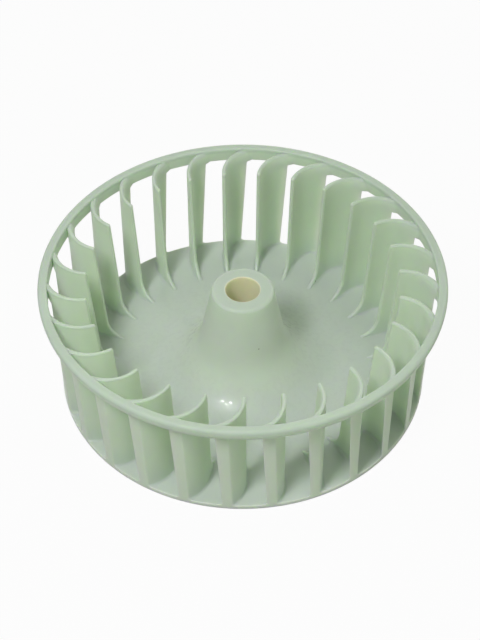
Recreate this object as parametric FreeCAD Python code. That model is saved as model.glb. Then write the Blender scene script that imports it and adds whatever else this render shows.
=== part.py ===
import FreeCAD, Part

import os
from math import asin, atan2, cos, hypot, radians, sin, sqrt, tan

# Dryer fan impeller: one injection moulding in uncoloured plastic. A back disc carries a tall
# flared hub in its middle and a cage of forward curved blades round its edge, and a thin ring
# ties the free ends of the blades together at the open inlet end.
# Millimetres and degrees. The origin is the centre of the disc's flat underside and +Z runs
# along the shaft axis to the inlet. Angles run counterclockwise, seen from the inlet.

# Overall sizes
ring_outer_diameter = 150.0
overall_height = 49.0
disc_diameter = 138.4
disc_thickness = 1.8

# Ring at the inlet: flat inside, bevelled on top and slanted in towards the blades below
ring_width = 3.5
ring_height = 5.7
ring_bevel_width = 1.0
ring_bevel_height = 1.4
ring_lip_bevel = 0.7
ring_foot_width = 1.25

# Blades: each starts radial at its inner edge and curves round to meet the ring at a slant. Its
# concave side has the tighter curve and then runs out straight, so the blade thickens outward
blade_count = 27
first_blade_angle = -89.7
blade_inner_diameter = 115.2
blade_outlet_angle = 34.0
blade_concave_turn = 70.0
blade_radius_step = 3.4
blade_thickness = 1.5
blade_recess = 0.8
blade_outward_draft = 1.0
blade_shoulder_height = 1.4

# Foot of each blade: a radial fin that leans in towards the axis from the blade's top edge down
# and runs out along the disc on a concave curve
foot_lean_angle = 4.6
foot_radius = 8.5
foot_runout = 0.2

# Hub
bore_diameter = 12.7
bore_chamfer = 0.4
hub_height = 42.2
hub_top_diameter = 23.0
hub_bevel = 1.0
hub_draft_angle = 10.8
hub_flare_radius = 23.0

# Hollow under the hub: a boss round the bore and ribs that brace it
boss_diameter = 19.6
hub_cap_thickness = 12.0
rib_count = 6
rib_thickness = 1.6
rib_recess = 2.0

# Radii and heights that follow from the sizes above
ring_outer_radius = ring_outer_diameter / 2
ring_inner_radius = ring_outer_radius - ring_width
ring_core_radius = ring_inner_radius + ring_foot_width
ring_bottom = overall_height - ring_height
disc_radius = disc_diameter / 2
blade_inner_radius = blade_inner_diameter / 2
blade_top = overall_height - blade_recess
blade_root = disc_thickness / 2
bore_radius = bore_diameter / 2
boss_radius = boss_diameter / 2
hub_top_radius = hub_top_diameter / 2
hub_hollow_top = hub_height - hub_cap_thickness
hub_draft = radians(hub_draft_angle)
flare_height = disc_thickness + hub_flare_radius
flare_radius = (
    hub_top_radius
    + (hub_height - flare_height) * tan(hub_draft)
    + hub_flare_radius / cos(hub_draft)
)

UP = FreeCAD.Vector(0, 0, 1)
ORIGIN = FreeCAD.Vector(0, 0, 0)


def at(radius, height):
    """Point of a half section, drawn in the plane of X and Z."""
    return FreeCAD.Vector(radius, 0, height)


def swing(centre, radius, angle):
    """Point of a half section at a distance and a slope from a centre."""
    slope = radians(angle)
    return centre + FreeCAD.Vector(radius * cos(slope), 0, radius * sin(slope))


def curve(centre, radius, first, last):
    """Arc of a half section about a centre, from one slope to another."""
    stops = [first, (first + last) / 2, last]
    return Part.Arc(*[swing(centre, radius, angle) for angle in stops]).toShape()


def outline(*parts):
    """Closed wire through points and edges in their order, joined by straight lines."""
    edges = []
    first = last = None
    for part in parts:
        is_edge = isinstance(part, Part.Edge)
        start = part.valueAt(part.FirstParameter) if is_edge else part
        end = part.valueAt(part.LastParameter) if is_edge else part
        if last is None:
            first = start
        elif not last.isEqual(start, 1e-7):
            edges.append(Part.LineSegment(last, start).toShape())
        if is_edge:
            edges.append(part)
        last = end
    edges.append(Part.LineSegment(last, first).toShape())
    return Part.Wire(edges)


def turned(*parts):
    """Solid of revolution about the shaft axis from the outline of its half section."""
    return Part.Face(outline(*parts)).revolve(ORIGIN, UP, 360)


def round_the_axis(shape, count, first_angle):
    """Copies of a shape, evenly spaced round the shaft axis."""
    copies = []
    for number in range(count):
        copy = shape.copy()
        copy.rotate(ORIGIN, UP, first_angle + 360 * number / count)
        copies.append(copy)
    return copies


def disc_and_hub():
    """Back disc and hub, solid inside, with the bore through it."""
    flare_centre = at(flare_radius, flare_height)
    return turned(
        at(bore_radius, 0),
        at(disc_radius, 0),
        at(disc_radius, disc_thickness),
        curve(flare_centre, hub_flare_radius, -90, hub_draft_angle - 180),
        at(hub_top_radius + hub_bevel * tan(hub_draft), hub_height - hub_bevel),
        at(hub_top_radius - hub_bevel, hub_height),
        at(bore_radius + bore_chamfer, hub_height),
        at(bore_radius, hub_height - bore_chamfer),
    )


def hub_hollow():
    """Space under the hub in straight tapers, which leaves the wall, the boss and the ribs."""
    flare_centre = at(flare_radius, flare_height)
    wall_radius = hub_flare_radius + disc_thickness
    drop = hub_height - hub_hollow_top
    top_radius = hub_top_radius + drop * tan(hub_draft) - disc_thickness / cos(hub_draft)
    taper = (90 - hub_draft_angle) / 2
    corner_radius = wall_radius / cos(radians(taper / 2))
    hollow = turned(
        at(boss_radius, 0),
        swing(flare_centre, corner_radius, -90 - taper / 2),
        swing(flare_centre, corner_radius, -90 - 3 * taper / 2),
        at(top_radius, hub_hollow_top),
        at(boss_radius, hub_hollow_top),
    )
    corner = FreeCAD.Vector(0, -rib_thickness / 2, rib_recess)
    rib = Part.makeBox(flare_radius, rib_thickness, hub_height, corner)
    return hollow.cut(round_the_axis(rib, rib_count, 0))


def inlet_ring():
    """Ring that ties the blades together at the inlet."""
    return turned(
        at(ring_inner_radius, ring_bottom),
        at(ring_core_radius, ring_bottom),
        at(ring_outer_radius, overall_height - ring_bevel_height),
        at(ring_outer_radius - ring_bevel_width, overall_height),
        at(ring_inner_radius + ring_lip_bevel, overall_height),
        at(ring_inner_radius, overall_height - ring_lip_bevel),
    )


def blade_side(offset, radius, turn):
    """Three points on a side's arc, which starts radial, and the end of its run into the ring."""
    lift = offset - radius

    def point(angle):
        return FreeCAD.Vector(blade_inner_radius + radius * sin(angle), lift + radius * cos(angle), 0)

    bend_end = point(turn)
    heading = FreeCAD.Vector(cos(turn), -sin(turn), 0)
    nearest = bend_end.dot(heading)
    run = sqrt(nearest ** 2 + ring_core_radius ** 2 - bend_end.dot(bend_end)) - nearest
    return [point(0), point(turn / 2), bend_end], bend_end + heading * run


def blade_plan():
    """Outline of a blade seen from above: square at its inner edge, thicker towards the ring."""
    half = blade_thickness / 2
    slant = radians(blade_outlet_angle)
    growth = ring_inner_radius ** 2 - blade_inner_radius ** 2
    convex_radius = (growth - half ** 2) / (2 * (ring_inner_radius * cos(slant) - half))
    concave_radius = convex_radius - blade_radius_step
    lift = half - convex_radius
    reach = (growth - lift ** 2 - convex_radius ** 2) / (2 * convex_radius)
    convex_turn = asin(reach / hypot(blade_inner_radius, lift)) - atan2(lift, blade_inner_radius)
    convex, convex_tip = blade_side(half, convex_radius, convex_turn)
    concave, concave_tip = blade_side(-half, concave_radius, radians(blade_concave_turn))
    return outline(
        Part.Arc(*convex).toShape(),
        convex_tip,
        concave_tip,
        Part.Arc(*reversed(concave)).toShape(),
    )


def blade_space():
    """Space that the blades may fill: inside the disc's edge below, up to the ring on top."""
    shoulder = ring_bottom - blade_shoulder_height
    ring_middle = (ring_inner_radius + ring_core_radius) / 2
    return turned(
        at(0, blade_root),
        at(disc_radius, blade_root),
        at(disc_radius, disc_thickness),
        at(disc_radius + blade_outward_draft, shoulder),
        at(ring_middle, ring_bottom),
        at(ring_middle, blade_top),
        at(0, blade_top),
    )


def foot():
    """Fin at the inner edge of a blade: it leans inward going down and ends on a concave curve."""
    lean = radians(foot_lean_angle)
    height = disc_thickness - foot_runout + foot_radius
    edge = blade_inner_radius - (blade_top - height) * tan(lean)
    centre = at(edge - foot_radius / cos(lean), height)
    side = outline(
        at(blade_inner_radius, blade_root),
        at(blade_inner_radius, blade_top),
        curve(centre, foot_radius, -foot_lean_angle, -90),
        at(centre.x, blade_root),
    )
    side.translate(FreeCAD.Vector(0, -blade_thickness / 2, 0))
    return Part.Face(side).extrude(FreeCAD.Vector(0, blade_thickness, 0))


def blade():
    """One blade with its foot."""
    band = Part.Face(blade_plan()).extrude(UP * blade_top)
    return band.common(blade_space()).fuse(foot())


def impeller():
    """The whole moulding."""
    blades = round_the_axis(blade(), blade_count, first_blade_angle)
    body = disc_and_hub().cut(hub_hollow())
    return body.fuse(blades + [inlet_ring()])


os.makedirs("parts", exist_ok=True)
impeller().exportStep("parts/impeller.step")
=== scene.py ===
"""Fan wheel of a clothes dryer: one moulding in natural plastic, on a plain pale stage."""

from math import acos, asin, atan2, cos, hypot, pi, radians, sin, tan

import bmesh
import bpy
import numpy as np
from mathutils import Matrix, Vector


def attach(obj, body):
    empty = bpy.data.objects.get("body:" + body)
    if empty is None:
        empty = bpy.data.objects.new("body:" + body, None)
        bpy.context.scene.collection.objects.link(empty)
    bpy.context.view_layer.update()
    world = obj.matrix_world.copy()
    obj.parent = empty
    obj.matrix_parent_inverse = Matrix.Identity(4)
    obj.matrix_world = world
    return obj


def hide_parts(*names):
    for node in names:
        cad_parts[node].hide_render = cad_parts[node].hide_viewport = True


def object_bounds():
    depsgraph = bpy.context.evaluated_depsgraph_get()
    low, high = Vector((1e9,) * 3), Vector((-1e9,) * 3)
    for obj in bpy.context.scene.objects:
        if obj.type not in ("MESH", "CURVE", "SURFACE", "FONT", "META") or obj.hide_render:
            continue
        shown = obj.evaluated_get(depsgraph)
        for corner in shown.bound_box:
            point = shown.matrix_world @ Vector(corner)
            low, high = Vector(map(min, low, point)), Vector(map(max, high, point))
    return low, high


bl_info = {
    "name": "Dryer fan impeller",
    "version": (1, 0, 0),
    "blender": (4, 5, 0),
    "location": "View3D > Sidebar > Impeller",
    "description": "Moulded fan wheel with its curved blades, inlet ring, flared hub and stage",
    "category": "Add Mesh",
}

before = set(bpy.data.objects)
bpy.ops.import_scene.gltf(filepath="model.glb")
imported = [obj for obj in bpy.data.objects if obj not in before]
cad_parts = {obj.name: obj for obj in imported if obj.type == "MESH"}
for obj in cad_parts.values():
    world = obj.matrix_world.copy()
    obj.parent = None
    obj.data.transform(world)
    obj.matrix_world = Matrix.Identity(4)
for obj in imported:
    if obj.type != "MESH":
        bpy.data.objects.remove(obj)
CAD_LOW, CAD_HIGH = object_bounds()

BODY = "root"
NODE = "impeller"
MM = 0.001

# Steps round a small rounding, as shares of it
STEPS = np.linspace(0, 1, 4)
# Points of a quarter round, as shares of its radius: set in along one face, and left on the other
QUARTER = tuple((1 - cos(pi / 2 * step), 1 - sin(pi / 2 * step)) for step in STEPS)
# The same for a bevel, which carries on from a side that is drawn in
BEVEL = tuple((step, 1 - step) for step in STEPS)
# The same for a fillet, with one more point just past it that keeps the floor beside it flat
PAST_FILLET = 1.25
FILLET = (*QUARTER, (PAST_FILLET, 0.0))
# Slopes of the points on a blade's rounded top inner corner
CORNER = np.array([1, 2, 3]) * pi / 8
# Columns of points between one blade and the next, as shares of the gap, and round the ring for each blade
GAP = np.linspace(0, 1, 7)
RING_COLUMNS = 8
# Columns of points across a pocket of the hub's hollow and along a rib, and rows up each of its two tapers
POCKET_COLUMNS, RIB_COLUMNS, TAPER_ROWS = 15, 5, 5
# Points closer than this are one point
WELD = 2e-6
# Edges that turn by more than this stay sharp
SHARP_ANGLE = radians(60)


def length(name, description, default):
    """A length that the user may change."""
    return bpy.props.FloatProperty(
        name=name, description=description, default=default, min=0.0, unit="LENGTH", precision=5
    )


def angle(name, description, degrees):
    """An angle that the user may change."""
    return bpy.props.FloatProperty(
        name=name, description=description, default=radians(degrees), subtype="ANGLE"
    )


def colour(name, description, default):
    """A colour that the user may change."""
    return bpy.props.FloatVectorProperty(
        name=name, description=description, default=default, size=3, min=0.0, max=1.0, subtype="COLOR"
    )


def amount(name, description, default, high=1.0):
    """A plain factor that the user may change."""
    return bpy.props.FloatProperty(
        name=name, description=description, default=default, min=0.0, max=high, subtype="FACTOR"
    )


def spot(name, description, default):
    """A place in the scene that the user may change."""
    return bpy.props.FloatVectorProperty(
        name=name, description=description, default=default, size=3,
        subtype="TRANSLATION", unit="LENGTH", precision=5,
    )


class WheelSizes(bpy.types.PropertyGroup):
    """Disc and ring, the two round ends of the wheel"""

    ring_radius: length("Ring radius", "Outer radius of the ring at the inlet", CAD_HIGH.x)
    height: length("Height", "From the disc's underside to the ring's top", CAD_HIGH.z)
    disc_radius: length("Disc radius", "Outer radius of the back disc", 69.2 * MM)
    disc_thickness: length("Disc thickness", "Thickness of the back disc", 1.8 * MM)
    rim_rounding: length("Rim rounding", "Rounding of the disc's two edges", 0.25 * MM)
    ring_width: length("Ring width", "Width of the ring seen from above", 3.5 * MM)
    ring_height: length("Ring height", "Height of the ring", 5.7 * MM)
    ring_foot_width: length("Ring foot width", "Width of the ring's flat underside", 1.25 * MM)
    ring_shoulder: length("Ring shoulder", "Rounding of the ring's top outer edge", 1.4 * MM)
    ring_lip: length("Ring lip", "Rounding of the ring's top inner edge", 0.8 * MM)
    ring_edge: length("Ring edge", "Rounding of the ring's two lower edges", 0.3 * MM)


class BladeSizes(bpy.types.PropertyGroup):
    """Curved blades, with a concave foot at the inner edge of each"""

    count: bpy.props.IntProperty(name="Blades", description="Blades round the wheel", default=27, min=3)
    first_azimuth: angle("First blade", "Azimuth of the first blade's inner edge", -89.7)
    inner_radius: length("Inner radius", "Radius of the blades' inner edges", 57.6 * MM)
    thickness: length("Thickness", "Thickness of a blade at its inner edge", 1.5 * MM)
    outlet_angle: angle("Outlet angle", "Angle between a blade's convex side and the ring's tangent", 34.0)
    radius_step: length("Radius step", "How much tighter the concave side's curve is", 3.4 * MM)
    concave_turn: angle("Concave turn", "Turn of the concave side's curve, before it runs out straight", 70.0)
    recess: length("Recess", "From the ring's top down to the blades' tops", 0.8 * MM)
    top_draw: length("Top draw", "How far the concave side draws in at a blade's top, by the ring", 1.4 * MM)
    lean: length("Lean", "How far the outer edges lean out on their way up", 1.2 * MM)
    shoulder_height: length("Shoulder height", "Height of the step from a blade out to the ring", 1.4 * MM)
    foot_lean: angle("Foot lean", "How far the inner edges lean in on their way down", 4.6)
    foot_radius: length("Foot radius", "Radius of the foot's concave edge", 8.5 * MM)
    foot_runout: length("Foot runout", "How far the foot's curve would reach below the disc's face", 0.2 * MM)
    foot_end: length("Foot end", "Length over which the foot comes to a rounded end", 1.2 * MM)
    edge_rounding: length("Edge rounding", "Rounding along the blades' free edges", 0.55 * MM)
    corner_rounding: length("Corner rounding", "Rounding of a blade's top inner corner", 0.9 * MM)
    root_fillet: length("Root fillet", "Fillet between a blade and the disc", 0.9 * MM)
    ring_fillet: length("Ring fillet", "Fillet on the open side between a blade and the ring", 3.0 * MM)


class HubSizes(bpy.types.PropertyGroup):
    """Flared hub with its bore, and the ribbed hollow under it"""

    height: length("Height", "Height of the hub's top", 42.2 * MM)
    top_radius: length("Top radius", "Radius of the hub at its top", 11.5 * MM)
    draft: angle("Draft", "Slope of the hub's side from the axis", 10.8)
    flare_radius: length("Flare radius", "Radius of the concave flare into the disc", 23.0 * MM)
    top_rounding: length("Top rounding", "Rounding of the hub's top edge", 1.5 * MM)
    bore_radius: length("Bore radius", "Radius of the shaft bore", 6.35 * MM)
    bore_edge: length("Bore edge", "Rounding of the bore's ends", 0.4 * MM)
    boss_radius: length("Boss radius", "Radius of the boss round the bore", 9.8 * MM)
    cap: length("Cap", "Solid length of the hub above its hollow", 12.0 * MM)
    ribs: bpy.props.IntProperty(name="Ribs", description="Ribs in the hollow", default=6, min=2)
    rib_thickness: length("Rib thickness", "Thickness of each rib", 1.6 * MM)
    rib_recess: length("Rib recess", "From the disc's underside up to the ribs", 2.0 * MM)


class PlasticLook(bpy.types.PropertyGroup):
    """Uncoloured plastic of the moulding"""

    body: colour("Body", "Colour of the moulding", (0.69, 0.79, 0.65))
    disc: colour("Disc", "Greyer colour of the polished disc", (0.615, 0.70, 0.61))
    # Painted shade: the ring's top, the blades' top edges and the hub's top, which face the lamp, get this
    # darker colour
    crown: colour("Crown", "Duller colour of the ring's top and the blades' top edges", (0.575, 0.675, 0.565))
    # Painted shade: the blades' thin inner edges, which the lamp lights, get this darker colour
    nose: colour("Nose", "Duller colour of the blades' thin inner edges", (0.60, 0.70, 0.57))
    bore: colour("Bore", "Yellowed colour inside the bore", (0.86, 0.86, 0.62))
    speck: colour("Specks", "Colour of the few dark specks", (0.10, 0.09, 0.06))
    glow: amount("Glow", "How much light passes under the surface", 1.0)
    glow_depth: length("Glow depth", "How far light passes under the surface", 3.0 * MM)
    roughness: amount("Roughness", "Roughness of the satin surface", 0.5)
    shine: amount("Shine", "Strength of the satin surface's reflections", 0.35)
    disc_roughness: amount("Disc roughness", "Roughness of the polished disc", 0.33)
    polish: amount("Polish", "Strength of the clear reflections at the hub's foot", 0.45)
    polish_roughness: amount("Polish roughness", "Roughness of the clear reflections", 0.06)
    mottle: amount("Mottling", "Strength of the cloudy colour variation", 0.08)
    grain: length("Grain", "Depth of the fine surface grain", 0.01 * MM)
    ripple: length("Ripple", "Depth of the ripple that breaks up the clear reflections", 0.04 * MM)


class StageLook(bpy.types.PropertyGroup):
    """Floor, sky, lamp and camera"""

    floor: colour("Floor", "Colour of the floor", (0.5, 0.51, 0.5))
    floor_reach: length("Floor reach", "From the middle of the floor to its sides", 3.0)
    paper: amount("Paper white", "How white the floor looks", 0.96)
    right_sky: amount("Right sky", "Strength of the soft light from the right", 0.5, high=4.0)
    back_sky: amount("Back sky", "Strength of the soft light from the back", 0.9, high=4.0)
    front_sky: amount("Front sky", "Strength of the soft light from the front", 0.36, high=4.0)
    sky_tint: colour("Sky tint", "Colour of the soft light", (0.97, 1.0, 0.9))
    lamp_tint: colour("Lamp tint", "Colour of the lamp", (0.96, 0.94, 1.0))
    lamp_power: bpy.props.FloatProperty(
        name="Lamp power", description="Power of the lamp", default=3.45, min=0.0, unit="POWER"
    )
    lamp_place: spot("Lamp place", "Where the lamp hangs, at the front left", (-0.227, -0.369, 0.693))
    lamp_target: spot("Lamp target", "Spot that the lamp points at", (0.0, 0.0, 0.02))
    lamp_width: length("Lamp width", "Width of the lamp's face", 0.16)
    lamp_length: length("Lamp length", "Length of the lamp's face", 0.22)
    camera_place: spot("Camera place", "Where the camera stands", (-0.00105, -0.44225, 0.4861))
    camera_tilt: angle("Camera tilt", "How far the camera looks down", 46.142)
    camera_roll: angle("Camera roll", "Turn about the line of sight", -0.204)
    lens: bpy.props.FloatProperty(
        name="Lens", description="Focal length in millimetres", default=95.6, min=1.0, unit="CAMERA"
    )
    sensor: bpy.props.FloatProperty(
        name="Sensor", description="Width of the sensor in millimetres", default=36.0, min=1.0, unit="CAMERA"
    )


# Points and grids

def cylindrical(radius, azimuth, height):
    """Points from their distance to the axis, their azimuth and their height."""
    radius, azimuth, height = np.broadcast_arrays(radius, azimuth, height)
    return np.stack([radius * np.cos(azimuth), radius * np.sin(azimuth), height], axis=-1)


def polar(points):
    """Distance to the axis, azimuth and height of points."""
    x, y, height = np.moveaxis(points, -1, 0)
    return np.hypot(x, y), np.arctan2(y, x), height


def turned(points, azimuth):
    """Points turned about the axis."""
    c, s = cos(azimuth), sin(azimuth)
    return points @ np.array([[c, s, 0.0], [-s, c, 0.0], [0.0, 0.0, 1.0]])


def across(left, right, turn, shares):
    """Grid from one line of points round the axis to another, which is turned on first."""
    near, far = polar(left), polar(right)
    spread = np.asarray(shares)
    parts = [a[:, None] + (b - a)[:, None] * spread for a, b in zip(near, (far[0], far[1] + turn, far[2]))]
    return cylindrical(*parts)


def arc(centre, radius, first, last, steps):
    """Half section points on an arc, by slope."""
    slopes = np.linspace(first, last, steps + 1)
    return [(centre[0] + radius * cos(a), centre[1] + radius * sin(a)) for a in slopes]


def line(first, last, steps):
    """Half section points on a straight line."""
    return [tuple(np.array(first) + (np.array(last) - first) * i / steps) for i in range(steps + 1)]


class Skin:
    """Closed surface, gathered as grids and triangles that share their borders."""

    def __init__(self):
        self.points = []
        self.faces = []
        self.count = 0

    def add(self, points, faces):
        """Points, and faces that name them by their numbers."""
        self.faces += [tuple(int(i) + self.count for i in face) for face in faces]
        self.points.append(points)
        self.count += len(points)

    def grid(self, points):
        """Faces between the rows and columns of a grid of points."""
        rows, columns = points.shape[:2]
        number = np.arange(rows * columns).reshape(rows, columns)
        corners = (number[:-1, :-1], number[:-1, 1:], number[1:, 1:], number[1:, :-1])
        self.add(points.reshape(-1, 3), np.stack([c.ravel() for c in corners], axis=1))

    def repeated(self, grids, count, first=0.0):
        """Grids of one sector, turned on round the axis."""
        for number in range(count):
            for points in grids:
                self.grid(turned(points, first + 2 * pi * number / count))

    def revolved(self, section, azimuths):
        """Half section turned about the axis."""
        radius, height = (np.array(values)[:, None] for values in zip(*section))
        self.grid(cylindrical(radius, np.asarray(azimuths)[None, :], height))

    def zipped(self, outer, inner):
        """Band of triangles between two closed loops of points, each in order round the axis."""
        loops = []
        for loop in (outer, inner):
            azimuth = polar(loop)[1] % (2 * pi)
            loop = np.roll(loop, -int(np.argmin(azimuth)), axis=0)
            azimuth = np.sort(azimuth)
            loops.append((np.append(azimuth, azimuth[0] + 2 * pi), len(loop), loop))
        (a, many, first), (b, few, second) = loops
        faces = []
        i = j = 0
        while i < many or j < few:
            if j == few or (i < many and a[i + 1] <= b[j + 1]):
                faces.append((i % many, (i + 1) % many, many + j % few))
                i += 1
            else:
                faces.append((i % many, many + (j + 1) % few, many + j % few))
                j += 1
        self.add(np.concatenate([first, second]), faces)

    def to_object(self, name):
        """Object with the points welded, and all its faces looking outward."""
        mesh = bpy.data.meshes.new(name)
        mesh.from_pydata(np.concatenate(self.points).tolist(), [], self.faces)
        welded = bmesh.new()
        welded.from_mesh(mesh)
        bmesh.ops.remove_doubles(welded, verts=welded.verts, dist=WELD)
        bmesh.ops.recalc_face_normals(welded, faces=welded.faces)
        for face in welded.faces:
            face.smooth = True
        welded.to_mesh(mesh)
        welded.free()
        piece = bpy.data.objects.new(name, mesh)
        bpy.context.scene.collection.objects.link(piece)
        return piece


# Blades

class BladeSides:
    """A blade's convex and concave sides: radial along the foot, then each on its own arc to the ring."""

    CONVEX, CONCAVE = 1, -1

    def __init__(self, wheel, blade):
        self.start = blade.inner_radius
        self.half = blade.thickness / 2
        wall = wheel.ring_radius - wheel.ring_width
        growth = wall ** 2 - self.start ** 2 - self.half ** 2
        convex = growth / (2 * (wall * cos(blade.outlet_angle) - self.half))
        self.radius = {self.CONVEX: convex, self.CONCAVE: convex - blade.radius_step}
        self.turn = {self.CONVEX: pi, self.CONCAVE: blade.concave_turn}

    def at(self, sign, along, out, height):
        """Points by their distance along a side from the nose, and how far they stand out of it."""
        along, out, height = np.broadcast_arrays(along, out, height)
        radius, turn = self.radius[sign], self.turn[sign]
        swing = np.clip(along / radius, 0, turn)
        run = np.maximum(along - radius * turn, 0)
        arm = radius + sign * out
        x = self.start + np.minimum(along, 0) + arm * np.sin(swing) + run * cos(turn)
        y = sign * self.half - radius + arm * np.cos(swing) - run * sin(turn)
        return np.stack([x, y, height], axis=-1)

    def reach(self, sign, out, distance):
        """How far along a side, or a line that stands out of it, is at a distance from the axis."""
        out, distance = np.broadcast_arrays(np.asarray(out, float), distance)
        radius, turn = self.radius[sign], self.turn[sign]
        drop = sign * self.half - radius
        arm = radius + sign * out
        span = hypot(self.start, drop)
        lift = (distance ** 2 - span ** 2 - arm ** 2) / (2 * arm * span)
        curved = radius * (np.arcsin(np.clip(lift, -1, 1)) - atan2(drop, self.start))
        x, y = self.start + arm * sin(turn), drop + arm * cos(turn)
        nearest = x * cos(turn) - y * sin(turn)
        run = np.sqrt(np.maximum(nearest ** 2 + distance ** 2 - x ** 2 - y ** 2, 0)) - nearest
        straight = radius * turn + run
        return np.where((sign == self.CONCAVE) & (run > 0), straight, curved)


class BladeNodes:
    """Rows, columns and edge lines that a blade shares with the disc and the ring."""

    # Columns along the foot and the blade, and rows up the foot, the shoulder and inside the ring: each
    # is closer where the surface turns, and is given as a share of its stretch
    FOOT_COLUMNS = np.array([0, 0.02, 0.05, 0.09, 0.14, 0.21, 0.29, 0.38, 0.48, 0.59, 0.7, 0.8, 0.9, 1])
    COLUMNS = np.array([0, 0.05, 0.11, 0.18, 0.26, 0.34, 0.42, 0.5, 0.58, 0.66, 0.74, 0.82, 0.89, 0.945, 1])
    FOOT_ROWS = np.array([0, 0.05, 0.13, 0.24, 0.38, 0.53, 0.68, 0.84, 1])
    SHOULDER_ROWS = np.array([0.3, 0.6, 0.85, 1])
    INSIDE_ROWS = np.array([0.25, 0.5, 0.7, 0.87])
    # Even rows between the foot and the shoulder
    STEM_ROWS = 6
    # Most that the rounding and the fillet take of the foot's height, where it fades out
    FOOT_EDGE_SHARE = 0.4
    FOOT_FILLET_SHARE = 0.35
    # Share of the side's length at which the top has drawn in fully
    DRAWN = 0.85

    def __init__(self, wheel, blade):
        self.wheel, self.blade = wheel, blade
        self.sides = BladeSides(wheel, blade)
        self.floor = wheel.disc_thickness
        self.top = wheel.height - blade.recess
        self.ring_wall = wheel.ring_radius - wheel.ring_width
        self.ring_foot = wheel.height - wheel.ring_height + wheel.ring_edge
        self.shoulder = wheel.height - wheel.ring_height - blade.shoulder_height
        self.edge = blade.edge_rounding
        self.corner = blade.corner_rounding
        self.fillet = blade.root_fillet
        self.lay_foot()
        self.lay_rows()

    def lay_foot(self):
        """Centre and slopes of the foot's arc, and the rounding, fillet and width that fade at its end."""
        radius, lean = self.blade.foot_radius, self.blade.foot_lean
        height = self.floor - self.blade.foot_runout + radius
        drop = self.top - self.corner - height
        self.foot_centre = -drop * tan(lean) - radius / cos(lean), height
        self.foot_top = height - radius * sin(lean)
        first = acos(1 - self.blade.foot_runout / radius)
        last = pi / 2 - lean
        self.slope = first + (last - first) * self.FOOT_COLUMNS
        rise = height - radius * np.cos(self.slope) - self.floor
        self.foot_edge = np.minimum(self.edge, self.FOOT_EDGE_SHARE * rise)
        self.foot_fillet = np.minimum(self.fillet, self.FOOT_FILLET_SHARE * rise)
        grown = np.minimum(radius * (self.slope - first) / self.blade.foot_end, 1)
        self.foot_inset = self.sides.half * (1 - np.sqrt(grown * (2 - grown)))

    def lay_rows(self):
        """Heights of the wall's rows at the nose, from the root fillet to the top edge."""
        root = self.floor + self.fillet
        foot = root + (self.foot_top - root) * self.FOOT_ROWS
        stem = np.linspace(self.foot_top, self.shoulder, self.STEM_ROWS + 1)[1:]
        shoulder = self.shoulder + (self.ring_foot - self.shoulder) * self.SHOULDER_ROWS
        corner = self.top - self.corner + (self.corner - self.edge) * np.sin([0, CORNER[0]])
        inside = self.ring_foot + (corner[0] - self.ring_foot) * self.INSIDE_ROWS
        self.rows = np.concatenate([foot, stem, shoulder, inside, corner, [self.top - self.edge]])
        self.foot_rows = len(foot)
        self.ring_rows = len(foot) + len(stem) + len(shoulder) - 1

    def nose(self, height):
        """How far along the sides the nose is at a height: it leans in on its way down to the foot."""
        drop = self.top - self.corner - np.asarray(height)
        return -np.clip(drop, 0, self.top - self.corner - self.foot_top) * tan(self.blade.foot_lean)

    def outer(self, sign, height):
        """Radius of the blade's outer edge, which steps out to the ring: square on the concave side."""
        last = self.shoulder + (self.ring_foot - self.shoulder) * self.SHOULDER_ROWS[-2]
        step = self.shoulder if sign == BladeSides.CONVEX else last
        disc = self.wheel.disc_radius
        heights = [self.floor + self.fillet, step, self.ring_foot]
        return np.interp(height, heights, [disc, disc + self.blade.lean, self.ring_wall])

    def drawn(self, sign, share, height):
        """How far a side has drawn in at a share of its length: only the concave one, inside the ring."""
        if sign == BladeSides.CONVEX:
            return 0 * share * height
        rise = np.clip((height - self.ring_foot) / (self.top - self.ring_foot), 0, 1)
        return self.blade.top_draw * np.minimum(share / self.DRAWN, 1) * (1 - np.sqrt(1 - rise ** 2))

    def foot_curve(self, depth):
        """Line along the foot's free edge, at a depth inside it."""
        along, height = self.foot_centre
        radius = self.blade.foot_radius
        facing = self.slope * (pi / 2) / self.slope[-1]
        return (along + radius * np.sin(self.slope) + depth * np.sin(facing),
                height - radius * np.cos(self.slope) - depth * np.cos(facing))

    def corner_at(self, depth, slope):
        """Point of the rounded top inner corner, at a depth inside it."""
        arm = self.corner - depth
        return self.corner - arm * np.cos(slope), self.top - self.corner + arm * np.sin(slope)

    def ring_join(self, sign, inset):
        """Radius at which a line of the blade meets the ring, less the fillet on the open side."""
        if sign == BladeSides.CONVEX or inset > 0:
            return self.ring_wall
        turn = self.blade.outlet_angle
        return self.ring_wall - self.blade.ring_fillet * (1 / cos(turn / 2) - 1)

    def spread(self, first, last):
        """Distances along a side, from the end of the nose's rounding to the outer edge."""
        first, last = np.broadcast_arrays(first, last)
        return first[..., None] + (last - first)[..., None] * self.COLUMNS

    def wall(self, sign):
        """Grid of one side wall of the blade proper."""
        rows = self.rows
        last = len(rows) - 1
        radius = self.outer(sign, rows) - self.wheel.rim_rounding
        radius[self.ring_rows:] = self.ring_join(sign, 0)
        nose = self.nose(rows)
        far = self.sides.reach(sign, -self.drawn(sign, 1.0, rows), radius)
        corner_along, corner_height = self.corner_at(self.edge, CORNER)
        tip, second = nose + self.edge, nose + (self.edge + self.corner) / 2
        tip[last - 1:] = corner_along[:2]
        second[last] = corner_along[2]
        along = np.column_stack([tip, second, self.spread(nose + self.corner, far)])
        height = np.repeat(rows[:, None], along.shape[1], axis=1)
        height[last, :2] = corner_height[1:]
        share = np.concatenate([[0, 0], self.COLUMNS])
        return self.sides.at(sign, along, -self.drawn(sign, share, rows[:, None]), height)

    def foot_wall(self, sign):
        """Grid of one side of the foot."""
        along, top = self.foot_curve(self.foot_edge)
        low = self.floor + self.foot_fillet
        height = low + (top - low) * self.FOOT_ROWS[:, None]
        return self.sides.at(sign, along, -self.foot_inset, height)

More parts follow.
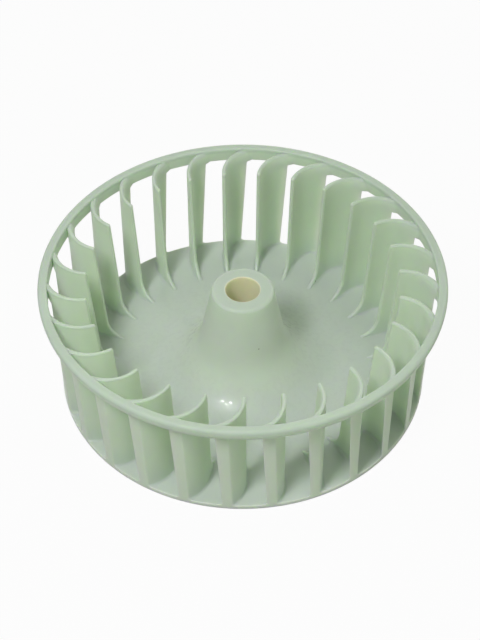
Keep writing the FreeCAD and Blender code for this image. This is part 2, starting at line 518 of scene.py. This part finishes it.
    def root_lines(self, sign):
        """Lines down the fillet, from the side wall to the floor, along foot and blade."""
        foot_along = self.foot_curve(self.foot_edge)[0][:-1]
        nose = self.nose(self.floor)
        near = nose + np.array([self.edge, (self.edge + self.corner) / 2])
        even = np.ones(len(self.COLUMNS) + 2)
        fillet = np.append(self.foot_fillet[:-1], self.fillet * even)
        foot_inset = np.append(self.foot_inset[:-1], 0 * even)
        lines = []
        for inset, left in FILLET:
            out = inset * fillet - foot_inset
            far = self.sides.reach(sign, out[-1], self.wheel.disc_radius - self.wheel.rim_rounding)
            along = np.concatenate([foot_along, near, self.spread(nose + self.corner, far)])
            lines.append(self.sides.at(sign, along, out, self.floor + left * fillet))
        return lines

    def edge_line(self, sign, inset, left):
        """Line along the blade's free edge, from the foot's end up the nose and out to the ring."""
        foot_along, foot_height = self.foot_curve(self.foot_edge * left)
        foot_out = -self.foot_inset - self.foot_edge * inset
        depth = self.edge * left
        rows = self.rows[self.foot_rows - 1:-2]
        corner_along, corner_height = self.corner_at(depth, CORNER)
        drawn = self.drawn(sign, 1.0, self.top - self.edge)
        far = self.sides.reach(sign, -drawn - self.edge * inset, self.ring_join(sign, inset))
        along = self.spread(self.corner, far)
        out = -self.drawn(sign, self.COLUMNS, self.top - self.edge) - self.edge * inset
        return np.concatenate([
            self.sides.at(sign, foot_along[:-1], foot_out[:-1], foot_height[:-1]),
            self.sides.at(sign, self.nose(rows) + depth, -self.edge * inset, rows),
            self.sides.at(sign, corner_along, -self.edge * inset, corner_height),
            self.sides.at(sign, along, out, self.top - depth),
        ])

    def end_line(self, sign, inset, left):
        """Line up the blade's outer edge, from the disc's rim to the ring."""
        rows = self.rows[:self.ring_rows + 1]
        edge = self.wheel.rim_rounding
        out = np.full(len(rows), -edge * inset)
        out[-1] = -self.edge * inset
        radius = self.outer(sign, rows) - edge * left
        radius[-1] = self.ring_join(sign, inset)
        return self.sides.at(sign, self.sides.reach(sign, out, radius), out, rows)

    def strip(self, edge_at, concave_steps=QUARTER):
        """Grid across a free edge, from lines over its two roundings and one between them."""
        concave = [edge_at(BladeSides.CONCAVE, *step) for step in concave_steps]
        convex = [edge_at(BladeSides.CONVEX, *step) for step in reversed(QUARTER)]
        return np.stack(concave + [(concave[-1] + convex[0]) / 2] + convex, axis=1)

    def edge_strip(self):
        """Grid across the blade's free edge, from the foot's end up the nose and out to the ring."""
        return self.strip(self.edge_line, BEVEL)

    def end_strip(self):
        """Grid across the blade's outer edge, from the disc's rim up to the ring."""
        return self.strip(self.end_line)

    def rim_corner(self, sign, inset, left):
        """Line round the fillet where it comes out at the disc's rim, from the blade down to the floor."""
        edge = self.wheel.rim_rounding
        slopes = np.linspace(0, pi / 2, len(QUARTER))
        arm = self.fillet + edge * inset
        out = np.append(self.fillet - arm * np.cos(slopes), self.fillet * PAST_FILLET)
        radius = self.wheel.disc_radius - edge * left
        height = self.floor + self.fillet - arm * np.sin(np.append(slopes, pi / 2))
        return self.sides.at(sign, self.sides.reach(sign, out, radius), out, height)


def rim_grids(nodes, pitch):
    """Rounded edge and face of the disc's rim, under a blade and on to the next one."""
    wheel = nodes.wheel
    edge = wheel.rim_rounding
    concave, convex = (
        np.stack([nodes.rim_corner(sign, *step) for step in QUARTER])
        for sign in (BladeSides.CONCAVE, BladeSides.CONVEX)
    )
    left, right = convex[:, -1], concave[:, -1]
    grids = [concave, convex, across(left, right, pitch, GAP)]
    middle = nodes.end_strip()[0][len(QUARTER)]
    under = np.concatenate([concave[-1][::-1], [middle], convex[-1]])
    gap = across(left[-1:], right[-1:], pitch, GAP)[0]
    bottom = [(wheel.disc_radius - edge * inset, edge * left) for inset, left in QUARTER]
    for top in (under, gap):
        azimuth = polar(top)[1]
        below = [cylindrical(radius, azimuth, height) for radius, height in bottom]
        grids.append(np.stack([top] + below))
    return grids


def ring_section(nodes):
    """Half section of the ring, from its inner lip over the top and round to the foot of its inner wall."""
    wheel = nodes.wheel
    foot = wheel.height - wheel.ring_height
    wall, outside = nodes.ring_wall, wheel.ring_radius
    lip, shoulder, edge = wheel.ring_lip, wheel.ring_shoulder, wheel.ring_edge
    drop = wheel.height - shoulder - foot
    inset = wheel.ring_width - wheel.ring_foot_width
    lean = 2 * atan2(inset, drop)
    side = drop / sin(lean)
    corner = np.array([outside - inset, foot])
    # Start, middle and end of the rounding under the side, as shares of its radius
    rounding = ((sin(lean), cos(lean)), (-0.1, 0.25), (-1.0, 0.0))
    section = arc((wall + lip, wheel.height - lip), lip, pi, pi / 2, steps=5)
    section += line((wall + lip, wheel.height), (outside - shoulder, wheel.height), steps=2)[1:-1]
    section += arc((outside - shoulder, wheel.height - shoulder), shoulder, pi / 2, 0, steps=6)
    section += arc((outside - side, wheel.height - shoulder), side, 0, -lean, steps=8)[1:-1]
    section += [tuple(corner + edge * np.array(point)) for point in rounding]
    section += line(section[-1], (wall + edge, foot), steps=2)[1:-1]
    section += arc((wall + edge, foot + edge), edge, 3 * pi / 2, pi, steps=3)
    return np.array(section)


def ring_wall_grid(nodes, pitch):
    """Ring's inner wall between one blade's joint and the next."""
    sides = (BladeSides.CONVEX, BladeSides.CONCAVE)
    left, right = (nodes.wall(sign)[nodes.ring_rows:, -1] for sign in sides)
    radius, azimuth, height = polar(across(left, right, pitch, GAP))
    radius[:, :-1] = radius[:, :1]
    return cylindrical(radius, azimuth, height)


def add_ring(skin, nodes, starts, pitch):
    """Ring over its top and outside, joined to its inner wall and to the blades above and below."""
    section = ring_section(nodes)
    azimuths = starts[0] + np.linspace(0, 2 * pi, RING_COLUMNS * len(starts) + 1)
    skin.revolved(section[1:-1], azimuths)
    inside = ring_wall_grid(nodes, pitch)
    for row, strip, point in ((-1, nodes.edge_strip(), section[1]), (0, nodes.end_strip(), section[-2])):
        sector = np.concatenate([strip[-1][:-1], inside[row][:-1]])
        loop = np.concatenate([turned(sector, start) for start in starts])
        skin.zipped(loop, cylindrical(point[0], azimuths[:-1], point[1]))


def wheel_grids(nodes, pitch):
    """All the grids of one sector: a blade, the floor to the next one, the rim and the ring's inner wall."""
    grids = [nodes.edge_strip(), nodes.end_strip()]
    floor = {}
    for sign in (BladeSides.CONCAVE, BladeSides.CONVEX):
        lines = nodes.root_lines(sign)
        floor[sign] = lines[-1]
        grids += [nodes.wall(sign), nodes.foot_wall(sign), np.stack(lines)]
    grids.append(across(floor[BladeSides.CONVEX], floor[BladeSides.CONCAVE], pitch, GAP))
    return grids + rim_grids(nodes, pitch) + [ring_wall_grid(nodes, pitch)]


# Hub

def hub_section(wheel, hub, feet_end):
    """Half section from the feet's ends over the hub and down its bore, and the flare's centre."""
    floor = wheel.disc_thickness
    flare = hub.flare_radius
    rise = hub.height - floor - flare
    centre = (hub.top_radius + rise * tan(hub.draft) + flare / cos(hub.draft), floor + flare)
    section = line((feet_end, floor), (centre[0], floor), steps=3)[:-1]
    section += arc(centre, flare, -pi / 2, hub.draft - pi, steps=18)
    crown = hub.top_rounding
    crown_centre = (hub.top_radius + crown * tan(hub.draft) - crown / cos(hub.draft), hub.height - crown)
    top = arc(crown_centre, crown, hub.draft, pi / 2, steps=5)
    section += line(section[-1], top[0], steps=5)[1:-1] + top
    edge = hub.bore_edge
    section += line(top[-1], (hub.bore_radius + edge, hub.height), steps=2)[1:-1]
    section += arc((hub.bore_radius + edge, hub.height - edge), edge, pi / 2, pi, steps=3)
    section += line((hub.bore_radius, hub.height - edge), (hub.bore_radius, edge), steps=8)[1:-1]
    section += arc((hub.bore_radius + edge, edge), edge, pi, 3 * pi / 2, steps=3)
    return section, centre


def hollow_wall(wheel, hub, centre):
    """Radius of the hollow's outer wall by height: two straight tapers behind the flare."""
    thickness = wheel.disc_thickness
    top = hub.height - hub.cap
    taper = (pi / 2 - hub.draft) / 2
    reach = (hub.flare_radius + thickness) / cos(taper / 2)
    slopes = (-pi / 2 - taper / 2, -pi / 2 - 3 * taper / 2)
    corners = [(centre[0] + reach * cos(a), centre[1] + reach * sin(a)) for a in slopes]
    low_slope = (corners[0][0] - corners[1][0]) / (corners[1][1] - corners[0][1])
    mouth = corners[0][0] + corners[0][1] * low_slope
    last = hub.top_radius + hub.cap * tan(hub.draft) - thickness / cos(hub.draft)
    return np.array([(mouth, 0.0), (corners[1][0], corners[1][1]), (last, top)])


def hollow_grids(hub, wall):
    """One of the hollow's sectors: half a rib on either side of a pocket, as grids."""
    turn = 2 * pi / hub.ribs
    bend, top = wall[1][1], wall[2][1]
    low = np.linspace(hub.rib_recess, bend, TAPER_ROWS)
    heights = np.append(low, np.linspace(bend, top, TAPER_ROWS)[1:])
    radius = np.interp(heights, wall[:, 1], wall[:, 0])
    boss = hub.boss_radius
    steps = np.linspace(0, 1, POCKET_COLUMNS)
    radial = np.linspace(0, 1, RIB_COLUMNS)

    def rib_edge(distance):
        """Azimuth of the middle rib's side at a radius."""
        return np.arcsin(hub.rib_thickness / 2 / distance)

    def pocket(distance, height):
        """Grid from one rib's side to the next one's."""
        edge = rib_edge(distance)[:, None]
        return cylindrical(distance[:, None], edge + (turn - 2 * edge) * steps, height[:, None])

    ends = np.full(len(heights), boss)
    ceiling = boss + (radius[-1] - boss) * radial
    grids = [pocket(radius, heights), pocket(ends, heights), pocket(ceiling, np.full(RIB_COLUMNS, top))]
    faces = boss + (radius - boss)[:, None] * radial
    for sign in (-1, 1):
        grids.append(cylindrical(faces, sign * rib_edge(faces), heights[:, None]))
    under = faces[0][:, None]
    grids.append(cylindrical(under, rib_edge(under) * np.array([-1, 0, 1]), heights[0]))
    return grids


def hollow_azimuths(hub, distance):
    """Azimuths of the hollow's columns at a radius, once round."""
    turn = 2 * pi / hub.ribs
    edge = asin(hub.rib_thickness / 2 / distance)
    sector = np.concatenate([[-edge, 0], np.linspace(edge, turn - edge, POCKET_COLUMNS)[:-1]])
    return np.concatenate([sector + turn * number for number in range(hub.ribs)])


def hollow_mouth(skin, hub, wall, edge):
    """Walls below the ribs, with their rounded lower edges, and the two loops in which they end."""
    loops = []
    boss = np.array([(hub.boss_radius, height) for height in wall[:, 1]])
    # Middle of the rounding, as shares of its radius: away from the wall, and up from the underside
    away, up = 0.15, 0.25
    for side, out in ((wall, edge), (boss, -edge)):
        recess, low, foot = np.interp([hub.rib_recess, edge, 0.0], side[:, 1], side[:, 0])
        section = [(recess, hub.rib_recess), (low, edge), (foot + away * out, up * edge), (foot + out, 0.0)]
        azimuth = hollow_azimuths(hub, recess)
        skin.revolved(section, np.append(azimuth, azimuth[0] + 2 * pi))
        loops.append(cylindrical(foot + out, azimuth, 0.0))
    return loops


def add_hub(skin, wheel, hub, feet_end, azimuths):
    """Hub with its bore and hollow, ending in the loop round the hollow's mouth."""
    section, centre = hub_section(wheel, hub, feet_end)
    skin.revolved(section, azimuths)
    wall = hollow_wall(wheel, hub, centre)
    skin.repeated(hollow_grids(hub, wall), hub.ribs)
    mouth, boss = hollow_mouth(skin, hub, wall, wheel.rim_rounding)
    skin.zipped(boss, cylindrical(section[-1][0], azimuths[:-1], 0.0))
    return mouth


def moulding(wheel, blade, hub):
    """The whole moulding as one closed skin."""
    nodes = BladeNodes(wheel, blade)
    pitch = 2 * pi / blade.count
    skin = Skin()
    skin.repeated(wheel_grids(nodes, pitch), blade.count, blade.first_azimuth)
    starts = blade.first_azimuth + pitch * np.arange(blade.count)
    add_ring(skin, nodes, starts, pitch)
    feet_end = blade.inner_radius + nodes.foot_curve(0.0)[0][0]
    azimuths = np.append((starts[:, None] + pitch * GAP[:-1]).ravel(), blade.first_azimuth + 2 * pi)
    mouth = add_hub(skin, wheel, hub, feet_end, azimuths)
    under, gap = (polar(grid[-1])[1] for grid in rim_grids(nodes, pitch)[-2:])
    sector = np.concatenate([under[:-1], gap[:-1]])
    rim = cylindrical(wheel.disc_radius - wheel.rim_rounding, (starts[:, None] + sector).ravel(), 0.0)
    skin.zipped(rim, mouth)
    return skin


# Plastic

# Waves a metre of the plastic's clouds, of their slower drift, and of its fine grain
CLOUD, DRIFT, GRAIN = 38.0, 9.0, 1900.0
# How much the clouds change the roughness, and how strongly the grain bends the light
CLOUD_ROUGHNESS, GRAIN_STRENGTH = 0.12, 0.6
# Waves a metre of the polished grains and of the ripple over them, and noise levels at which a grain
# begins and is whole
POLISHED_GRAIN, RIPPLE = 500.0, 700.0
GRAIN_LEVELS = (0.52, 0.6)
# Cells a metre, of which few hold a dark speck, the share that holds none, and the speck's soft edge
# in cells
SPECK_CELLS = 170.0
SPECKLESS = 0.985
SPECK_EDGE = (0.06, 0.035)
# How far light of each colour passes under the surface, as shares of the depth
GLOW_COLOURS = (0.8, 1.0, 0.6)
PLASTIC_IOR = 1.49


def opaque(tint):
    """Colour with nothing to see through."""
    return *tint, 1.0


class Recipe:
    """Node tree of one material or of the sky, built up node by node."""

    # Places of the colour mix's factor and two colours among its inputs, and of the result
    MIX_INPUTS = (0, 6, 7)
    MIX_RESULT = 2

    def __init__(self, owner):
        self.owner = owner
        owner.use_nodes = True
        self.tree = owner.node_tree
        self.tree.nodes.clear()

    def add(self, kind, **settings):
        """New node of a kind."""
        node = self.tree.nodes.new("ShaderNode" + kind)
        for name, value in settings.items():
            setattr(node, name, value)
        return node

    def put(self, socket, value):
        """Value or link for a socket."""
        if isinstance(value, bpy.types.NodeSocket):
            self.tree.links.new(value, socket)
        else:
            socket.default_value = value

    def feed(self, node, **inputs):
        """Values or links for a node's inputs, by their names."""
        for name, value in inputs.items():
            self.put(node.inputs[name.replace("_", " ")], value)
        return node

    def math(self, operation, *values):
        """Result of one operation on values or links."""
        node = self.add("Math", operation=operation)
        for socket, value in zip(node.inputs, values):
            self.put(socket, value)
        return node.outputs[0]

    def product(self, first, *others):
        """Values or links multiplied together."""
        for value in others:
            first = self.math("MULTIPLY", first, value)
        return first

    def ramp(self, value, none, full):
        """0 up to one value and 1 from another on, smooth between them."""
        node = self.add("MapRange", interpolation_type="SMOOTHSTEP")
        self.feed(node, Value=value, From_Min=none, From_Max=full)
        return node.outputs["Result"]

    def mix(self, factor, first, second, blend="MIX"):
        """Two colours mixed."""
        node = self.add("Mix", data_type="RGBA", blend_type=blend)
        for number, value in zip(self.MIX_INPUTS, (factor, first, second)):
            self.put(node.inputs[number], value)
        return node.outputs[self.MIX_RESULT]

    def noise(self, place, scale, detail):
        """Noise from 0 to 1."""
        node = self.feed(self.add("TexNoise"), Vector=place, Scale=scale, Detail=detail)
        return node.outputs["Fac"]

    def bump(self, height, depth, strength=1.0):
        """Normal of a surface with the ups and downs of a noise."""
        node = self.feed(self.add("Bump"), Strength=strength, Distance=depth, Height=height)
        return node.outputs["Normal"]


class MouldingParts:
    """Where each part of the moulding is: 1 on it and 0 off it, by radius and height."""

    # How much of the ring's painted shade the hub's top has
    HUB_PAINTED_SHADE = 0.8

    def __init__(self, recipe, place, wheel, blade, hub):
        self.recipe = recipe
        self.wheel, self.blade, self.hub = wheel, blade, hub
        axes = recipe.feed(recipe.add("SeparateXYZ"), Vector=place).outputs
        squares = (recipe.math("MULTIPLY", axes[name], axes[name]) for name in ("X", "Y"))
        self.radius = recipe.math("SQRT", recipe.math("ADD", *squares))
        self.height = axes["Z"]

    def fade(self, value, line, none, full):
        """0 where a value is past a line by one length, and 1 where it is past it by another."""
        return self.recipe.ramp(value, line + none, line + full)

    def disc(self):
        """Disc's face and the foot of everything on it, in from the rim."""
        low = self.fade(self.height, self.wheel.disc_thickness, none=12 * MM, full=0.2 * MM)
        within = self.fade(self.radius, self.wheel.disc_radius, none=0.1 * MM, full=-0.6 * MM)
        return self.recipe.product(low, within)

    def bore(self):
        """Inside of the bore."""
        return self.fade(self.radius, self.hub.bore_radius, none=0.5 * MM, full=0.1 * MM)

    def crown(self):
        """Where shade is painted, darker than the body: the ring's top and the blades' top edges, and less so
        the hub's top.
        """
        ring = self.fade(self.height, self.wheel.height, none=-2.4 * MM, full=-0.9 * MM)
        top = self.fade(self.height, self.hub.height, none=-1.5 * MM, full=-0.3 * MM)
        within = self.fade(self.radius, self.hub.top_radius, none=8.5 * MM, full=4.5 * MM)
        return self.recipe.math("MAXIMUM", ring, self.recipe.product(top, within, self.HUB_PAINTED_SHADE))

    def nose(self):
        """Blades' inner edges above their feet, where shade is painted. They lean in on their way down from
        their tops.
        """
        top = self.wheel.height - self.blade.recess - self.blade.corner_rounding
        lean = self.recipe.product(self.recipe.math("SUBTRACT", top, self.height), tan(self.blade.foot_lean))
        upright = self.recipe.math("ADD", self.radius, lean)
        outside = self.fade(upright, self.blade.inner_radius, none=0.9 * MM, full=0.3 * MM)
        inside = self.fade(upright, self.blade.inner_radius, none=-0.9 * MM, full=-0.3 * MM)
        above = self.fade(self.height, self.wheel.disc_thickness, none=2.2 * MM, full=7.2 * MM)
        return self.recipe.product(outside, inside, above)

    def hub_foot(self):
        """Foot of the hub's flare and the disc round it."""
        near = self.fade(self.radius, self.blade.inner_radius, none=-2.6 * MM, full=-17.6 * MM)
        low = self.fade(self.height, self.wheel.disc_thickness, none=12.2 * MM, full=7.2 * MM)
        return self.recipe.product(near, low)

    def hub_edge(self):
        """Hub's rounded top edge."""
        rounding = self.hub.height - self.hub.top_rounding
        above = self.fade(self.height, rounding, none=0.0, full=0.3 * MM)
        inside = self.fade(self.radius, self.hub.top_radius, none=-1.6 * MM, full=-1.2 * MM)
        outside = self.fade(self.radius, self.hub.top_radius, none=2.0 * MM, full=1.0 * MM)
        return self.recipe.product(above, inside, outside)


def mottling(recipe, look, place, cloud):
    """Grey about 1 that varies with the clouds and, half as much, with their slower drift."""
    drift = recipe.math("SUBTRACT", recipe.noise(place, DRIFT, detail=2.0), 0.5)
    shade = recipe.math("ADD", recipe.product(cloud, 2 * look.mottle), 1.0)
    shade = recipe.math("ADD", shade, recipe.product(drift, look.mottle))
    return recipe.feed(recipe.add("CombineXYZ"), X=shade, Y=shade, Z=shade).outputs[0]


def specks(recipe, place):
    """1 on a few small specks, in the middle of cells that chance has picked."""
    cells = recipe.feed(recipe.add("TexVoronoi"), Vector=place, Scale=SPECK_CELLS, Randomness=1.0).outputs
    chance = recipe.feed(recipe.add("SeparateColor"), Color=cells["Color"]).outputs["Red"]
    picked = recipe.math("GREATER_THAN", chance, SPECKLESS)
    return recipe.product(recipe.ramp(cells["Distance"], *SPECK_EDGE), picked)


def plastic(look, wheel, blade, hub):
    """Translucent natural plastic: satin, cloudy, greyer and glossier on the disc, yellow in the bore, with
    painted shade on the tops and on the blades' inner edges.
    """
    recipe = Recipe(bpy.data.materials.new("natural_plastic_moulding"))
    place = recipe.add("TexCoord").outputs["Object"]
    parts = MouldingParts(recipe, place, wheel, blade, hub)
    disc = parts.disc()
    cloud = recipe.math("SUBTRACT", recipe.noise(place, CLOUD, detail=3.0), 0.5)

    base = recipe.mix(disc, opaque(look.body), opaque(look.disc))
    # The bore's own yellowed colour, and painted shade on the tops and on the blades' inner edges
    tones_and_painted_shades = ((parts.crown(), look.crown), (parts.nose(), look.nose), (parts.bore(), look.bore))
    for part, tint in tones_and_painted_shades:
        base = recipe.mix(part, base, opaque(tint))
    base = recipe.mix(1.0, base, mottling(recipe, look, place, cloud), "MULTIPLY")
    base = recipe.mix(specks(recipe, place), base, opaque(look.speck))

    rough = recipe.add("MapRange")
    recipe.feed(rough, Value=disc, To_Min=look.roughness, To_Max=look.disc_roughness)
    rough = recipe.math("ADD", rough.outputs["Result"], recipe.product(cloud, CLOUD_ROUGHNESS))
    grain = recipe.bump(recipe.noise(place, GRAIN, detail=2.0), look.grain, GRAIN_STRENGTH)
    ripple = recipe.bump(recipe.noise(place, RIPPLE, detail=1.0), look.ripple)
    grains = recipe.ramp(recipe.noise(place, POLISHED_GRAIN, detail=1.0), *GRAIN_LEVELS)
    polished = recipe.math("MAXIMUM", recipe.product(parts.hub_foot(), grains), parts.hub_edge())

    surface = recipe.feed(
        recipe.add("BsdfPrincipled"), Base_Color=base, Roughness=rough, Normal=grain,
        IOR=PLASTIC_IOR, Specular_IOR_Level=look.shine,
        Subsurface_Weight=look.glow, Subsurface_Radius=GLOW_COLOURS, Subsurface_Scale=look.glow_depth,
        Coat_Weight=recipe.product(polished, look.polish), Coat_Roughness=look.polish_roughness,
        Coat_Normal=ripple,
    )
    recipe.feed(recipe.add("OutputMaterial"), Surface=surface.outputs[0])
    return recipe.owner


# Stage

WHITE = opaque((1.0, 1.0, 1.0))
# Nearest and farthest that the camera sees
CAMERA_RANGE = (0.01, 10.0)


def seen_directly(recipe):
    """1 where the camera sees a thing straight, mirrored or through another one, and 0 for light."""
    rays = recipe.add("LightPath").outputs
    indirect = recipe.math("MAXIMUM", rays["Is Glossy Ray"], rays["Is Transmission Ray"])
    return recipe.math("MAXIMUM", rays["Is Camera Ray"], indirect)


def paper(look):
    """Floor that looks white to the camera and keeps part of the wheel's shadow."""
    recipe = Recipe(bpy.data.materials.new("stage_paper"))
    matt = recipe.feed(recipe.add("BsdfDiffuse"), Color=opaque(look.floor)).outputs[0]
    white = recipe.feed(recipe.add("Emission"), Color=WHITE, Strength=1.0).outputs[0]
    blend = recipe.add("MixShader")
    for socket, value in zip(blend.inputs, (recipe.product(seen_directly(recipe), look.paper), matt, white)):
        recipe.put(socket, value)
    recipe.feed(recipe.add("OutputMaterial"), Surface=blend.outputs[0])
    return recipe.owner


def set_sky(look):
    """Soft light from the right, the back and the front, from a sky that looks white."""
    recipe = Recipe(bpy.data.worlds.new("studio_air"))
    bpy.context.scene.world = recipe.owner
    place = recipe.add("TexCoord").outputs["Generated"]
    axes = recipe.feed(recipe.add("SeparateXYZ"), Vector=place).outputs

    def side(axis, end, power):
        """Light that grows from none at the middle to full at one end of an axis."""
        node = recipe.feed(recipe.add("MapRange"), Value=axis, From_Min=0.0, From_Max=end, To_Max=power)
        return node.outputs["Result"]

    right, back = side(axes["X"], 1.0, look.right_sky), side(axes["Y"], 1.0, look.back_sky)
    front = side(axes["Y"], -1.0, look.front_sky)
    light = recipe.math("ADD", recipe.math("ADD", right, back), front)
    seen = seen_directly(recipe)
    level = recipe.feed(recipe.add("MapRange"), Value=seen, To_Min=light, To_Max=1.0)
    tint = recipe.mix(seen, opaque(look.sky_tint), WHITE)
    background = recipe.feed(recipe.add("Background"), Color=tint, Strength=level.outputs["Result"])
    recipe.feed(recipe.add("OutputWorld"), Surface=background.outputs[0])


def set_lamp(look):
    """Soft lamp with a rectangular face, at the front left."""
    light = bpy.data.lights.new("key_lamp", "AREA")
    light.energy = look.lamp_power
    light.color = look.lamp_tint
    light.shape = "RECTANGLE"
    light.size, light.size_y = look.lamp_width, look.lamp_length
    lamp = bpy.data.objects.new("key_lamp", light)
    lamp.location = look.lamp_place
    aim = Vector(look.lamp_target) - Vector(look.lamp_place)
    lamp.rotation_euler = aim.to_track_quat("-Z", "Y").to_euler()
    bpy.context.scene.collection.objects.link(lamp)


def set_camera(look):
    """Camera at the angle from which the wheel is seen."""
    data = bpy.data.cameras.new("camera")
    data.lens = look.lens
    data.sensor_width = look.sensor
    data.clip_start, data.clip_end = CAMERA_RANGE
    camera = bpy.data.objects.new("camera", data)
    down = Matrix.Rotation(pi / 2 - look.camera_tilt, 4, "X")
    roll = Matrix.Rotation(look.camera_roll, 4, "Z")
    camera.matrix_world = Matrix.Translation(look.camera_place) @ down @ roll
    bpy.context.scene.collection.objects.link(camera)
    bpy.context.scene.camera = camera


# Operators and panel

class IMPELLER_OT_moulding(bpy.types.Operator):
    """Builds the wheel's one moulding and gives it its plastic"""

    bl_idname = "impeller.moulding"
    bl_label = "Moulding"

    def execute(self, context):
        scene = context.scene
        wheel, blade, hub = scene.wheel_sizes, scene.blade_sizes, scene.hub_sizes
        piece = moulding(wheel, blade, hub).to_object("impeller_moulding")
        piece.data.materials.append(plastic(scene.plastic_look, wheel, blade, hub))
        piece.data.set_sharp_from_angle(angle=SHARP_ANGLE)
        piece.modifiers.new("even_shading", "WEIGHTED_NORMAL").keep_sharp = True
        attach(piece, BODY)
        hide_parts(NODE)
        return {"FINISHED"}


class IMPELLER_OT_stage(bpy.types.Operator):
    """Lays the floor and sets the sky, the lamp and the camera"""

    bl_idname = "impeller.stage"
    bl_label = "Stage"

    def execute(self, context):
        look = context.scene.stage_look
        mesh = bpy.data.meshes.new("floor")
        reach = look.floor_reach
        corners = [(-reach, -reach, 0.0), (reach, -reach, 0.0), (reach, reach, 0.0), (-reach, reach, 0.0)]
        mesh.from_pydata(corners, [], [(0, 1, 2, 3)])
        mesh.materials.append(paper(look))
        floor = bpy.data.objects.new("floor", mesh)
        context.scene.collection.objects.link(floor)
        set_sky(look)
        set_lamp(look)
        set_camera(look)
        context.scene.view_settings.view_transform = "Standard"
        return {"FINISHED"}


class IMPELLER_PT_sidebar(bpy.types.Panel):
    """Sizes, looks and buttons of the fan wheel"""

    bl_idname = "IMPELLER_PT_sidebar"
    bl_label = "Dryer fan impeller"
    bl_space_type = "VIEW_3D"
    bl_region_type = "UI"
    bl_category = "Impeller"

    def draw(self, context):
        for group in GROUPS:
            column = self.layout.column(align=True)
            column.label(text=group.replace("_", " ").capitalize())
            holder = getattr(context.scene, group)
            for name in holder.bl_rna.properties.keys():
                if name not in ("rna_type", "name"):
                    column.prop(holder, name)
        for operator in OPERATORS:
            self.layout.operator(operator.bl_idname)


GROUPS = {
    "wheel_sizes": WheelSizes,
    "blade_sizes": BladeSizes,
    "hub_sizes": HubSizes,
    "plastic_look": PlasticLook,
    "stage_look": StageLook,
}
OPERATORS = (IMPELLER_OT_moulding, IMPELLER_OT_stage)


def register():
    for kind in (*GROUPS.values(), *OPERATORS, IMPELLER_PT_sidebar):
        bpy.utils.register_class(kind)
    for name, kind in GROUPS.items():
        setattr(bpy.types.Scene, name, bpy.props.PointerProperty(type=kind))


def unregister():
    for name in GROUPS:
        delattr(bpy.types.Scene, name)
    for kind in (IMPELLER_PT_sidebar, *OPERATORS, *GROUPS.values()):
        bpy.utils.unregister_class(kind)


def main():
    """Builds the piece and the stage."""
    register()
    bpy.ops.impeller.moulding()
    bpy.ops.impeller.stage()


if __name__ == "__main__":
    main()
